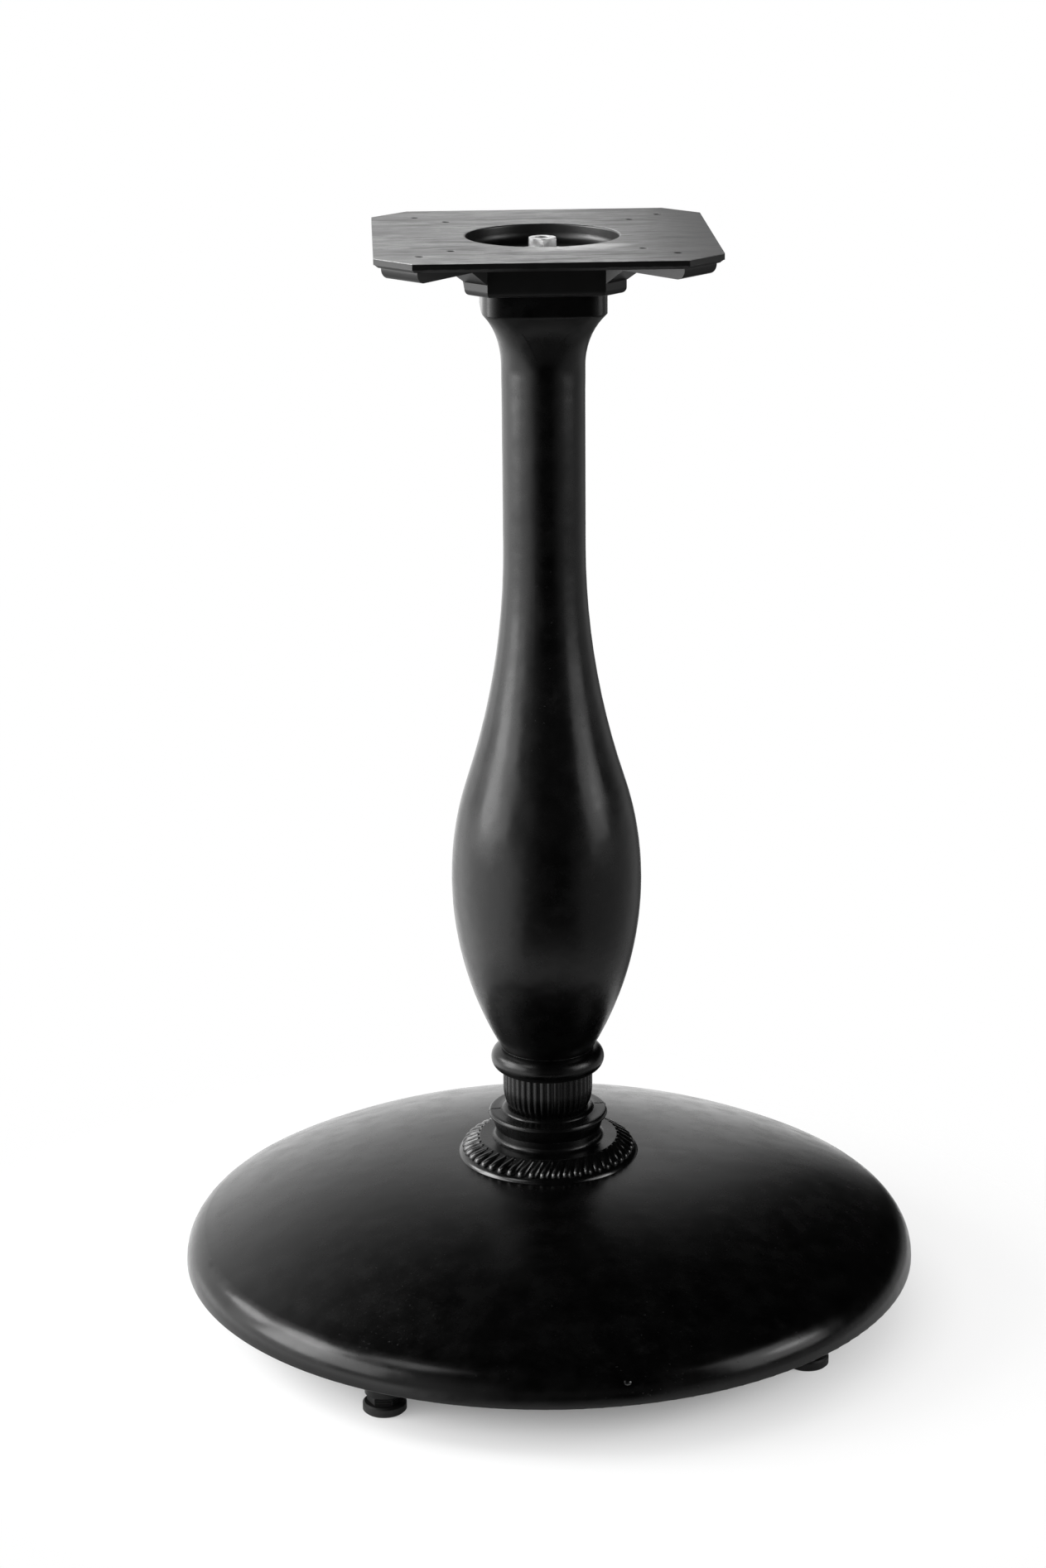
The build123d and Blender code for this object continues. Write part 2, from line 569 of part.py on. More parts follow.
pieces = {
    "base_dome": base_dome(),
    "column": column(),
    "top_plate": top_plate(),
    "tie_rod": tie_rod(),
    "top_washer": washer(RECESS_FLOOR),
    "top_nut": nut(TOP_WASHER_FACE),
    "bottom_washer": washer(BOTTOM_WASHER_FACE),
    "bottom_nut": nut(BOTTOM_NUT_FACE),
}
for number, place in enumerate(glide_places(), start=1):
    spot = place * Pos(GLIDE_CIRCLE_RADIUS, 0, 0)
    pieces[f"glide_pad_{number}"] = spot * glide_pad()
    pieces[f"glide_stud_{number}"] = spot * glide_stud()

os.makedirs("parts", exist_ok=True)
for name, piece in pieces.items():
    export_step(piece, f"parts/{name}.step")
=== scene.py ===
# %% [markdown]
# A cast pedestal table base, dressed in Blender
#
# The object is a black pedestal for a small table: a domed foot on four levelling glides, a
# baluster column and a square plate for the table top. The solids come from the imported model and
# stay where they are. This lesson gives them their finish, adds the small forms that a caster and
# a painter leave behind, and sets up the studio.

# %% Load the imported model
import math
from types import SimpleNamespace

import bmesh
import bpy
import numpy as np
from mathutils import Matrix, Vector


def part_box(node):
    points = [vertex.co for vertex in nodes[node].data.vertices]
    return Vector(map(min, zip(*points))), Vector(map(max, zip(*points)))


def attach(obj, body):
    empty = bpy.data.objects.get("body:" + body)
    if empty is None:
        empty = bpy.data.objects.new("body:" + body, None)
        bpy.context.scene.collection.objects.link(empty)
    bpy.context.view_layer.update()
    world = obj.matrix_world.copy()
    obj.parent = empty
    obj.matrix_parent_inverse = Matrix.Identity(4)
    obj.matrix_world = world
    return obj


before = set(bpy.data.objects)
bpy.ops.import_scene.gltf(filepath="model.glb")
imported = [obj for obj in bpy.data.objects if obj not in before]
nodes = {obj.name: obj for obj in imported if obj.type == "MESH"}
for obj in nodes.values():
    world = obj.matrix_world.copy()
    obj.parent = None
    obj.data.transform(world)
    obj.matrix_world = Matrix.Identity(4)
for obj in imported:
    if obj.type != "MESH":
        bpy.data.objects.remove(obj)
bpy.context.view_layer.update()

# %% [markdown]
# The camera
#
# The photograph was taken with a long lens from a little above the plate. A pinhole camera that
# was fitted to the plate's holes, the column and the rim gives its place and its three angles.
# Turning angles into three axes by hand is plainer than a Track To constraint, because the
# camera's small roll is kept.

# %% Camera
LENS_MM = 85.0
SENSOR_MM = 36.0
FAR_LIMIT = 100.0                    # metres that the camera can see
CAMERA_PLACE = Vector((-0.1173, -2.3568, 1.1050))
CAMERA_YAW = math.radians(2.478)     # from +Y towards +X
CAMERA_PITCH = math.radians(17.23)   # below the horizon
CAMERA_ROLL = math.radians(-0.479)


def camera_turn(yaw, pitch, roll):
    """Rotation whose columns are the camera's right, up and backward axes."""
    reach = math.cos(pitch)
    ahead = Vector((math.sin(yaw) * reach, math.cos(yaw) * reach, -math.sin(pitch)))
    level = Vector((math.cos(yaw), -math.sin(yaw), 0.0))
    upright = level.cross(ahead)
    right = level * math.cos(roll) + upright * math.sin(roll)
    up = upright * math.cos(roll) - level * math.sin(roll)
    return Matrix((right, up, -ahead)).transposed()


camera_data = bpy.data.cameras.new("camera")
camera_data.lens = LENS_MM
camera_data.sensor_width = SENSOR_MM
camera_data.clip_end = FAR_LIMIT
camera = bpy.data.objects.new("camera", camera_data)
bpy.context.scene.collection.objects.link(camera)
camera.matrix_world = (
    Matrix.Translation(CAMERA_PLACE) @ camera_turn(CAMERA_YAW, CAMERA_PITCH, CAMERA_ROLL).to_4x4()
)
bpy.context.scene.camera = camera
bpy.context.scene.view_settings.view_transform = "Standard"

# %% [markdown]
# Helpers for node trees
#
# Every finish below is a small graph of nodes. It could be wired by hand in the shader editor.
# Writing a node as one call, with its settings and its unlinked sockets as keywords, keeps the
# graph readable as text.

# %% Node helpers
def add(tree, kind, **values):
    """New node; a keyword sets the node's property of that name, or else the input socket."""
    node = tree.nodes.new(kind)
    for key, value in values.items():
        if hasattr(node, key):
            setattr(node, key, value)
        else:
            node.inputs[key.replace("_", " ")].default_value = value
    return node


def link(tree, source, target):
    """Joins an output socket to an input socket."""
    tree.links.new(source, target)


def math_node(tree, operation, first, second):
    """A Math node on sockets or plain numbers; gives its output socket."""
    node = add(tree, "ShaderNodeMath", operation=operation)
    for slot, value in enumerate((first, second)):
        if isinstance(value, (int, float)):
            node.inputs[slot].default_value = value
        else:
            link(tree, value, node.inputs[slot])
    return node.outputs[0]


def product(tree, first, *others):
    """All the sockets or numbers multiplied together."""
    for other in others:
        first = math_node(tree, "MULTIPLY", first, other)
    return first


def ramp(tree, value, low, high, bottom=0.0, top=1.0):
    """Smooth step of a socket from bottom at low to top at high."""
    node = add(tree, "ShaderNodeMapRange", interpolation_type="SMOOTHSTEP")
    link(tree, value, node.inputs["Value"])
    for name, number in (("From Min", low), ("From Max", high), ("To Min", bottom), ("To Max", top)):
        node.inputs[name].default_value = number
    return node.outputs["Result"]


def mix_colour(tree, share, first, second):
    """Blend of two colours, each a socket or a grey level, by a socket's share."""
    node = add(tree, "ShaderNodeMix", data_type="RGBA")
    link(tree, share, node.inputs[0])
    # With colours this node's A and B are its sockets 6 and 7
    for slot, value in ((6, first), (7, second)):
        if isinstance(value, float):
            node.inputs[slot].default_value = (value, value, value, 1.0)
        else:
            link(tree, value, node.inputs[slot])
    return node.outputs[2]


def mix_shader(tree, share, first, second):
    """Blend of two shader sockets by a socket's share."""
    node = add(tree, "ShaderNodeMixShader")
    for slot, socket in enumerate((share, first, second)):
        link(tree, socket, node.inputs[slot])
    return node.outputs[0]


def split(tree, vector):
    """The X, Y and Z sockets of a vector socket."""
    node = add(tree, "ShaderNodeSeparateXYZ")
    link(tree, vector, node.inputs[0])
    return node.outputs


def object_place(tree):
    """Socket with the place on the object, in metres from its origin."""
    return add(tree, "ShaderNodeTexCoord").outputs["Object"]


def seen_by_camera(tree):
    """Socket that is 1 on a ray from the camera and 0 on a reflected one."""
    return add(tree, "ShaderNodeLightPath").outputs["Is Camera Ray"]


print("node helpers ready")

# %% [markdown]
# What the paint mirrors
#
# The picture is a pack shot: white all round, and black paint that mirrors a bright backdrop, a
# lit left side and a darker room above. A photograph of a studio could be wrapped round the scene,
# but a few soft patches are easier to move. Each patch is a product of smooth steps on the three
# parts of the direction, and where patches overlap the brightest one shows. The camera itself sees
# plain white.

# %% World
BACKDROP_GLOW = 1.85
BACKDROP_FACING = (0.0, 0.6)           # part of the direction where it is dark, and where it is full
BACKDROP_TOP = (0.87, 0.06)
BACKDROP_RIGHT = (0.37, 0.13)
BACKDROP_LEAN = 0.35                   # how much higher it reaches on the left
LEFT_GLOW = 0.9
LEFT_SIDE = (-0.1, -0.7)
LEFT_TOP = (0.9, 0.25)
LEFT_SPILL = 3.3                       # low down on that side
LEFT_SPILL_SIDE = (-0.3, -0.85)
LEFT_SPILL_TOP = (0.1, -0.1)
RIGHT_SPILL = 0.6
RIGHT_SPILL_SIDE = (0.3, 0.75)
RIGHT_SPILL_TOP = (0.12, -0.08)
FRONT_GLOW = 0.15
FRONT_FACING = (-0.5, -0.9)
FRONT_TOP = (0.45, 0.2)
FRONT_FOOT = (-0.1, 0.15)
FRONT_SPILL = 0.25
FRONT_SPILL_FACING = (-0.2, -0.7)
FRONT_SPILL_TOP = (-0.3, -0.45)
ROOM_GLOW = 0.008
WHITE = (1.0, 1.0, 1.0, 1.0)

world = bpy.data.worlds.new("studio")
bpy.context.scene.world = world
world.use_nodes = True
sky = world.node_tree
sky.nodes.clear()
side, depth, height = split(sky, add(sky, "ShaderNodeTexCoord").outputs["Generated"])
lean = math_node(sky, "MINIMUM", product(sky, side, BACKDROP_LEAN), 0.0)
backdrop_height = math_node(sky, "ADD", height, lean)
patches = (
    (BACKDROP_GLOW, (depth, BACKDROP_FACING), (backdrop_height, BACKDROP_TOP), (side, BACKDROP_RIGHT)),
    (LEFT_GLOW, (side, LEFT_SIDE), (height, LEFT_TOP)),
    (LEFT_SPILL, (side, LEFT_SPILL_SIDE), (height, LEFT_SPILL_TOP)),
    (RIGHT_SPILL, (side, RIGHT_SPILL_SIDE), (height, RIGHT_SPILL_TOP)),
    (FRONT_GLOW, (depth, FRONT_FACING), (height, FRONT_TOP), (height, FRONT_FOOT)),
    (FRONT_SPILL, (depth, FRONT_SPILL_FACING), (height, FRONT_SPILL_TOP)),
)
glow = ROOM_GLOW
for level, *limits in patches:
    steps = [ramp(sky, part, *limit) for part, limit in limits]
    glow = math_node(sky, "MAXIMUM", product(sky, *steps, level), glow)
mirrored = add(sky, "ShaderNodeBackground")
link(sky, glow, mirrored.inputs["Strength"])
white = add(sky, "ShaderNodeBackground", Color=WHITE, Strength=1.0)
seen = mix_shader(sky, seen_by_camera(sky), mirrored.outputs[0], white.outputs[0])
link(sky, seen, add(sky, "ShaderNodeOutputWorld").inputs["Surface"])
print("world of", len(patches), "patches")

# %% [markdown]
# The floor
#
# The base stands on white paper that runs out of sight. A large plane would show a horizon, so the
# paper is a disc that fades out into the white behind it. The shadow on it is deep under the base
# and light further out. From the middle outwards the camera's view of the paper is therefore mixed
# more and more with plain white, which leaves the light on the object as it is.

# %% Floor
FLOOR_WHITE = 0.90
FLOOR_SOLID = 0.33     # metres from the column's axis to where the floor starts to fade
FLOOR_END = 0.48
SHADOW_NEAR = 0.13     # metres from the axis: full shadow here, and mostly lifted further out
SHADOW_FAR = 0.30
SHADOW_LIFT = 0.8
FLOOR_RINGS = 24
FLOOR_SPOKES = 96


def disc(radius, rings, spokes):
    """Flat disc: point (i, j) lies at radius * i / rings and at the angle 2 pi j / spokes."""
    share, turn = np.meshgrid(
        np.arange(1, rings + 1) / rings, np.arange(spokes) / spokes, indexing="ij"
    )
    x, y = radius * share * np.cos(2 * np.pi * turn), radius * share * np.sin(2 * np.pi * turn)
    points = np.vstack([[0.0, 0.0, 0.0], np.stack([x, y, 0 * x], -1).reshape(-1, 3)])
    ring, spoke = np.meshgrid(np.arange(rings - 1), np.arange(spokes), indexing="ij")
    here, after = 1 + ring * spokes + spoke, 1 + ring * spokes + (spoke + 1) % spokes
    quads = np.stack([here, here + spokes, after + spokes, after], -1).reshape(-1, 4)
    first = np.arange(spokes)
    middle = np.stack([0 * first, 1 + first, 1 + (first + 1) % spokes], -1)
    mesh = bpy.data.meshes.new("floor")
    mesh.from_pydata(points.tolist(), [], middle.tolist() + quads.tolist())
    return mesh


floor = bpy.data.objects.new("floor", disc(FLOOR_END, FLOOR_RINGS, FLOOR_SPOKES))
bpy.context.scene.collection.objects.link(floor)
paper = bpy.data.materials.new("white_paper")
paper.use_nodes = True
tree = paper.node_tree
tree.nodes.clear()
away = add(tree, "ShaderNodeVectorMath", operation="LENGTH")
link(tree, object_place(tree), away.inputs[0])
fade = ramp(tree, away.outputs["Value"], FLOOR_SOLID, FLOOR_END)
lift = ramp(tree, away.outputs["Value"], SHADOW_NEAR, SHADOW_FAR, 0.0, SHADOW_LIFT)
lift = product(tree, lift, seen_by_camera(tree))
matt = add(tree, "ShaderNodeBsdfDiffuse", Color=(FLOOR_WHITE, FLOOR_WHITE, FLOOR_WHITE, 1.0))
plain = add(tree, "ShaderNodeEmission", Color=WHITE, Strength=1.0)
lit = mix_shader(tree, lift, matt.outputs[0], plain.outputs[0])
sheet = mix_shader(tree, fade, lit, add(tree, "ShaderNodeBsdfTransparent").outputs[0])
link(tree, sheet, add(tree, "ShaderNodeOutputMaterial").inputs["Surface"])
floor.data.materials.append(paper)
print("floor", len(floor.data.polygons), "faces")

# %% [markdown]
# The lamps
#
# Black paint shows a lamp as a shape, so each soft box is placed for the highlight that it draws.
# On the left a large dim box gives the broad sheen, a smaller bright one before it gives the core
# of that sheen, two more widen it to the front and to the top, and two keys draw the streak along
# the rim. On the right there are one box and one key. The ceiling and the front fill light the
# paper and the plate, and no paint mirrors them.

# %% Lamps
MIDDLE = (0.0, 0.0, 0.4)               # aims
DOME_FRONT = (0.0, -0.2, 0.1)
LEFT_RIM = (-0.2, -0.14, 0.05)
FRONT_RIM = (-0.16, -0.19, 0.05)
RIGHT_RIM = (0.17, -0.17, 0.05)
FOOT = (0.0, 0.0, 0.0)
DOME = (0.0, 0.0, 0.1)


def soft_box(name, place, aim, width, tall, radiance, mirrored=True):
    """Rectangular lamp; a flat source of a radiance gives pi times its area times that in watts."""
    data = bpy.data.lights.new(name, "AREA")
    data.shape = "RECTANGLE"
    data.size, data.size_y = width, tall
    data.energy = math.pi * width * tall * radiance
    lamp = bpy.data.objects.new(name, data)
    bpy.context.scene.collection.objects.link(lamp)
    lamp.location = place
    lamp.rotation_euler = (Vector(aim) - Vector(place)).to_track_quat("-Z", "Y").to_euler()
    lamp.visible_glossy = mirrored
    lamp.visible_camera = False


soft_box("left_box", (-2.05, 0.0, 1.0), MIDDLE, 1.8, 2.0, 1.6)
soft_box("left_key_low", (-1.73, 0.66, 0.98), LEFT_RIM, 0.6, 0.45, 9.0)
soft_box("left_key_high", (-1.65, 0.0, 1.36), FRONT_RIM, 0.8, 0.45, 11.0)
soft_box("left_front", (-1.8, -0.9, 0.85), MIDDLE, 0.8, 1.0, 4.5)
soft_box("left_top", (-1.05, -0.6, 1.7), DOME_FRONT, 0.6, 0.5, 4.0)
soft_box("left_core", (-1.9, -0.15, 0.8), MIDDLE, 0.8, 1.0, 9.0)
soft_box("right_box", (1.9, -0.75, 0.95), MIDDLE, 1.2, 1.3, 3.0)
soft_box("right_key", (1.86, -0.5, 0.9), RIGHT_RIM, 0.5, 0.25, 9.0)
soft_box("ceiling", (-0.4, 0.2, 3.0), FOOT, 4.0, 4.0, 0.6, mirrored=False)
soft_box("front_fill", (-0.4, -2.8, 1.2), DOME, 4.0, 2.2, 1.9, mirrored=False)
print(len(bpy.data.lights), "lamps")

# %% [markdown]
# What a casting's surface does
#
# Three things repeat over the whole object, so each is a node group that any material can use.
# The skin is what the sand mould leaves: a fine grain under the paint, slow waves where the
# pattern was rubbed down, and patches where the paint lies thicker. Dust is small pale specks
# that gather in clusters. Rubbed edges are found by comparing the true normal with the normal of
# a slightly rounded copy of the surface: they differ only near an edge.

# %% Group helpers
def new_group(name, inputs, outputs):
    """Empty shader node group with a Vector, named value inputs and named value outputs."""
    group = bpy.data.node_groups.new(name, "ShaderNodeTree")
    group.interface.new_socket("Vector", in_out="INPUT", socket_type="NodeSocketVector")
    for label, default in inputs.items():
        socket = group.interface.new_socket(label, in_out="INPUT", socket_type="NodeSocketFloat")
        socket.default_value = default
    for label in outputs:
        group.interface.new_socket(label, in_out="OUTPUT", socket_type="NodeSocketFloat")
    return group, add(group, "NodeGroupInput").outputs, add(group, "NodeGroupOutput").inputs


def noise(tree, vector, scale, detail=3.0, roughness=0.55):
    """Noise of a scale in cells per metre, itself a number or a socket; gives its value socket."""
    node = add(tree, "ShaderNodeTexNoise", Detail=detail, Roughness=roughness)
    link(tree, vector, node.inputs["Vector"])
    if isinstance(scale, float):
        node.inputs["Scale"].default_value = scale
    else:
        link(tree, scale, node.inputs["Scale"])
    return node.outputs[0]


print("group helpers ready")

# %% Casting skin
MOTTLE_SCALE = 55.0     # patches per metre

skin, given, result = new_group(
    "casting_skin", {"Grain": 900.0, "Wave": 26.0, "Grain Height": 0.05}, ("Height", "Mottle")
)
grain = noise(skin, given["Vector"], given["Grain"], detail=3.0, roughness=0.6)
wave = noise(skin, given["Vector"], given["Wave"], detail=2.0, roughness=0.45)
grain = product(skin, grain, given["Grain Height"])
link(skin, math_node(skin, "ADD", grain, wave), result["Height"])
mottle = noise(skin, given["Vector"], MOTTLE_SCALE, detail=6.0, roughness=0.62)
link(skin, mottle, result["Mottle"])
print("node group", skin.name)

# %% Dust
CLUSTER_SCALE = 11.0    # clusters per metre
CLUSTER_SPAN = (0.46, 0.66)     # a span is the noise's value where nothing, and where all, is covered
FILM_SCALE = 70.0
FILM_SPAN = (0.5, 0.78)
FLECK_EDGE = 0.05       # rise of the noise over a fleck's edge
NO_DUST = 0.86          # height of the noise that a fleck has to reach, at a share of nothing
DUST_GAIN = 0.4         # how far a full share lowers that

dust, given, result = new_group("dust", {"Size": 420.0, "Share": 0.5}, ("Specks", "Film"))
fleck = noise(dust, given["Vector"], given["Size"], detail=5.0, roughness=0.6)
least = math_node(dust, "SUBTRACT", NO_DUST, product(dust, given["Share"], DUST_GAIN))
dots = ramp(dust, math_node(dust, "SUBTRACT", fleck, least), 0.0, FLECK_EDGE)
cluster = noise(dust, given["Vector"], CLUSTER_SCALE, detail=4.0, roughness=0.6)
cluster = ramp(dust, cluster, *CLUSTER_SPAN)
haze = noise(dust, given["Vector"], FILM_SCALE, detail=8.0, roughness=0.7)
haze = ramp(dust, haze, *FILM_SPAN)
link(dust, product(dust, dots, cluster), result["Specks"])
link(dust, product(dust, haze, cluster), result["Film"])
print("node group", dust.name)

# %% Rubbed edges
BEVEL_SAMPLES = 4
WEAR_SCALE = 130.0      # worn stretches per metre
WEAR_SPAN = (0.35, 0.65)
EDGE_ANGLE = (0.985, 0.9)     # cosine between the two normals: no edge, and full edge

rubbed, given, result = new_group("rubbed_edge", {"Width": 0.0008}, ("Edge",))
rounded = add(rubbed, "ShaderNodeBevel", samples=BEVEL_SAMPLES)
link(rubbed, given["Width"], rounded.inputs["Radius"])
apart = add(rubbed, "ShaderNodeVectorMath", operation="DOT_PRODUCT")
link(rubbed, rounded.outputs[0], apart.inputs[0])
link(rubbed, add(rubbed, "ShaderNodeNewGeometry").outputs["Normal"], apart.inputs[1])
patchy = ramp(rubbed, noise(rubbed, given["Vector"], WEAR_SCALE, detail=4.0), *WEAR_SPAN)
link(rubbed, product(rubbed, ramp(rubbed, apart.outputs["Value"], *EDGE_ANGLE), patchy), result["Edge"])
print("node group", rubbed.name)

# %% [markdown]
# Satin black paint
#
# The castings are dipped or sprayed in a thin satin black. Face on it is almost as dark as black
# gets, and near the silhouettes it mirrors the white studio. A metal or a coat would shine too much
# for it, so the shine comes from a low specular level and a middling roughness that follows the
# skin. The underside was sprayed last and least, so it is rougher, and on the rolled rim the paint
# lies smoother. The column's paint has shorter and deeper waves and less grain, and a glossier mix
# is for the rope, its lip and the drop on the rim.

# %% Material helpers
def placed(tree, group, **values):
    """Group node that reads Object coordinates, with its own values."""
    node = add(tree, "ShaderNodeGroup", node_tree=group)
    link(tree, object_place(tree), node.inputs["Vector"])
    for label, value in values.items():
        node.inputs[label.replace("_", " ")].default_value = value
    return node.outputs


def new_material(name, **values):
    """Material with a Principled shader and plain values; gives the material, its tree and the shader."""
    material = bpy.data.materials.new(name)
    material.use_nodes = True
    shader = material.node_tree.nodes["Principled BSDF"]
    for label, value in values.items():
        shader.inputs[label.replace("_", " ")].default_value = value
    return SimpleNamespace(material=material, tree=material.node_tree, shader=shader)


def bumped(tree, height, strength, distance, normal=None):
    """Normal of a surface that a height socket raises, over a given normal."""
    node = add(tree, "ShaderNodeBump", Strength=strength, Distance=distance)
    link(tree, height, node.inputs["Height"])
    if normal is not None:
        link(tree, normal, node.inputs["Normal"])
    return node.outputs[0]


def soft_edges(tree, radius):
    """Normal that runs round an edge with a radius in metres."""
    return add(tree, "ShaderNodeBevel", samples=BEVEL_SAMPLES, Radius=radius).outputs[0]


def finish(coat, colour, roughness, normal):
    """Joins the three sockets that vary over every surface here."""
    for label, socket in (("Base Color", colour), ("Roughness", roughness), ("Normal", normal)):
        link(coat.tree, socket, coat.shader.inputs[label])


def axis_distance(tree):
    """Distance from the column's axis, from Object coordinates."""
    flat = add(tree, "ShaderNodeVectorMath", operation="MULTIPLY")
    link(tree, object_place(tree), flat.inputs[0])
    flat.inputs[1].default_value = (1.0, 1.0, 0.0)
    length = add(tree, "ShaderNodeVectorMath", operation="LENGTH")
    link(tree, flat.outputs[0], length.inputs[0])
    return length.outputs["Value"]


print("material helpers ready")

# %% Paint
PAINT_BLACK = (0.0003, 0.0012)            # where the paint lies thick, and where it lies thin
BLACK_SPAN = (0.3, 0.75)
SHINE_SPAN = (0.25, 0.8)
DUST_GREY = 0.06
SPECK_SHARE = 0.12
FILM_SHARE = 0.06
SCUFF_PLACE = (-0.115, -0.183, 0.071)     # on the front left of the dome
SCUFF_REACH = (0.085, 0.01)               # metres from there: none, and full
SCUFF_SCALE = 520.0                       # scratches per metre
SCUFF_SPAN = (0.60, 0.72)
SCUFF_SHARE = 0.3
UNDERSIDE = (-0.35, -0.8)                 # Z of the normal: painted well, and painted least
DULLING = 0.3
PAINT_BUMP = 0.5
PAINT_ROUND = 0.0006                      # metres, radius of the paint over an edge
RIM_EDGE = (0.224, 0.234)                 # metres from the axis: the paint lies smoother past here
RIM_GLOSS = 0.04


def scuffed(tree, middle):
    """Share of fine scratches about a place, thinning out with the distance from it."""
    away = add(tree, "ShaderNodeVectorMath", operation="DISTANCE")
    link(tree, object_place(tree), away.inputs[0])
    away.inputs[1].default_value = middle
    scratches = noise(tree, object_place(tree), SCUFF_SCALE, detail=6.0, roughness=0.7)
    scratches = ramp(tree, scratches, *SCUFF_SPAN)
    return product(tree, ramp(tree, away.outputs["Value"], *SCUFF_REACH), scratches, SCUFF_SHARE)


def paint_coat(name, roughness=(0.22, 0.31), wave=26.0, depth=0.0006, grain=0.05,
               specular=0.24, worn_width=0.0008, worn_grey=0.02, scuff=None):
    """Satin black paint over a casting's skin; gives its material and the sockets to build on."""
    coat = new_material(name, Specular_IOR_Level=specular)
    tree = coat.tree
    cast = placed(tree, skin, Wave=wave, Grain_Height=grain)
    specks = placed(tree, dust)
    worn = placed(tree, rubbed, Width=worn_width)
    black = mix_colour(tree, ramp(tree, cast["Mottle"], *BLACK_SPAN), *PAINT_BLACK)
    black = mix_colour(tree, worn["Edge"], black, worn_grey)
    film = product(tree, specks["Film"], FILM_SHARE)
    pale = math_node(tree, "MAXIMUM", product(tree, specks["Specks"], SPECK_SHARE), film)
    if scuff:
        pale = math_node(tree, "MAXIMUM", pale, scuffed(tree, scuff))
    coat.colour = mix_colour(tree, pale, black, DUST_GREY)
    facing_up = split(tree, add(tree, "ShaderNodeNewGeometry").outputs["Normal"])["Z"]
    dull = math_node(tree, "MAXIMUM", ramp(tree, facing_up, *UNDERSIDE), specks["Specks"])
    shine = ramp(tree, cast["Mottle"], *SHINE_SPAN, *roughness)
    coat.shine = math_node(tree, "ADD", shine, product(tree, dull, DULLING))
    coat.normal = bumped(tree, cast["Height"], PAINT_BUMP, depth, soft_edges(tree, PAINT_ROUND))
    finish(coat, coat.colour, coat.shine, coat.normal)
    return coat


paint = paint_coat("satin_black", scuff=SCUFF_PLACE)
on_rim = ramp(paint.tree, axis_distance(paint.tree), *RIM_EDGE, 0.0, RIM_GLOSS)
rim_shine = math_node(paint.tree, "SUBTRACT", paint.shine, on_rim)
link(paint.tree, rim_shine, paint.shader.inputs["Roughness"])
column_paint = paint_coat("wavy_black", wave=34.0, depth=0.0013, grain=0.012)
polished = paint_coat("polished_black", roughness=(0.17, 0.26), specular=0.5)
print("paints:", paint.material.name, column_paint.material.name, polished.material.name)

# %% [markdown]
# The plate's ground face
#
# After casting, the top face was ground flat on a belt, along X. Its matt grey is partly its own and
# partly a painted reflection of the backdrop. It keeps fine scratches along the belt and dark smears.
# In front of the recess, on the right, a paler band is a painted highlight of the light on the
# recess's rounded edge, and towards its right end the face is darker.
# All this could be a painted picture, but noise that is stretched along X gives it at any distance.
# A mask from the height keeps it off the edges and out of the recess. The face is matt, so the shine
# of the sides and of the recess is a coat, which the mask leaves off the face.

# %% Ground face
_, plate_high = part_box("top_plate")
FACE_DEPTH = 0.0004              # metres below the face that still count as ground
RECESS_RADIUS = 0.049
RECESS_MARGIN = (0.0007, 0.0003)
BAND_WIDTH = 0.016
BAND_WANDER = 0.022              # metres that the band's edge wanders
BAND_FRONT = (-0.034, -0.048)    # metres along Y, and along X below: no band, and full band
BAND_RIGHT = (-0.02, 0.015)
RIGHT_HALF = (-0.08, 0.1)
FAR_RIGHT = (0.02, 0.11)
BELT_GRAIN = (50.0, 800.0)       # cells per metre along and across the belt
BELT_SPAN = (0.40, 0.57)
BITE_GRAIN = (12.0, 60.0)
BITE_SPAN = (0.30, 0.60)
BAND_SPAN = (0.34, 0.50)         # of the belt's noise, where the band lies
WANDER_GRAIN = (45.0, 60.0)
SMEAR_GRAIN = (16.0, 95.0)
SMEAR_SPAN = (0.52, 0.64)
# partly the ground iron's own grey and partly a painted reflection of the backdrop
GROUND_AND_SHEEN_GREY = (0.26, 0.43)       # between scratches, and on them
GROUND_ROUGHNESS = (0.55, 0.72)
RIGHT_ROUGHNESS = 0.12           # added on the right half
FAR_RIGHT_GREY = 0.12
FAR_RIGHT_SHARE = 0.85
# painted highlight along the recess's rounded front right edge
HIGHLIGHT_BAND_GREY = 0.70
SMEAR_GREY = 0.13
SMEAR_SHARE = 0.45
SMEAR_ROUGHNESS = 0.16           # added on a smear
SIDE_COAT = 0.4
RECESS_COAT = 1.0
COAT_ROUGHNESS = 0.38
COAT_IOR = 1.6
SCRATCH_BUMP = 0.8
SCRATCH_DEPTH = 0.0006


def belt_noise(tree, grain, detail, roughness=0.55):
    """Noise that is long along X, of so many cells per metre along and across the belt."""
    along, across = grain
    node = add(tree, "ShaderNodeMapping", Scale=(along, across, across))
    link(tree, object_place(tree), node.inputs["Vector"])
    return noise(tree, node.outputs[0], 1.0, detail, roughness)


plate_paint = paint_coat(
    "ground_black", roughness=(0.32, 0.5), depth=0.0012, specular=0.0, worn_width=0.0009, worn_grey=0.03
)
plate_paint.shader.inputs["Coat Roughness"].default_value = COAT_ROUGHNESS
plate_paint.shader.inputs["Coat IOR"].default_value = COAT_IOR
tree = plate_paint.tree
across_x, across_y, up = split(tree, object_place(tree))
face = math_node(tree, "GREATER_THAN", up, plate_high.z - FACE_DEPTH)
belt = belt_noise(tree, BELT_GRAIN, detail=7.0, roughness=0.75)
bite = belt_noise(tree, BITE_GRAIN, detail=5.0, roughness=0.65)
streak = product(tree, ramp(tree, belt, *BELT_SPAN), ramp(tree, bite, *BITE_SPAN))
smear = ramp(tree, belt_noise(tree, SMEAR_GRAIN, detail=6.0, roughness=0.7), *SMEAR_SPAN)
# painted highlight: a pale band along the recess's front right edge stands for light on its rounded edge
wander = product(tree, belt_noise(tree, WANDER_GRAIN, detail=5.0), BAND_WANDER)
from_recess = math_node(tree, "SUBTRACT", axis_distance(tree), wander)
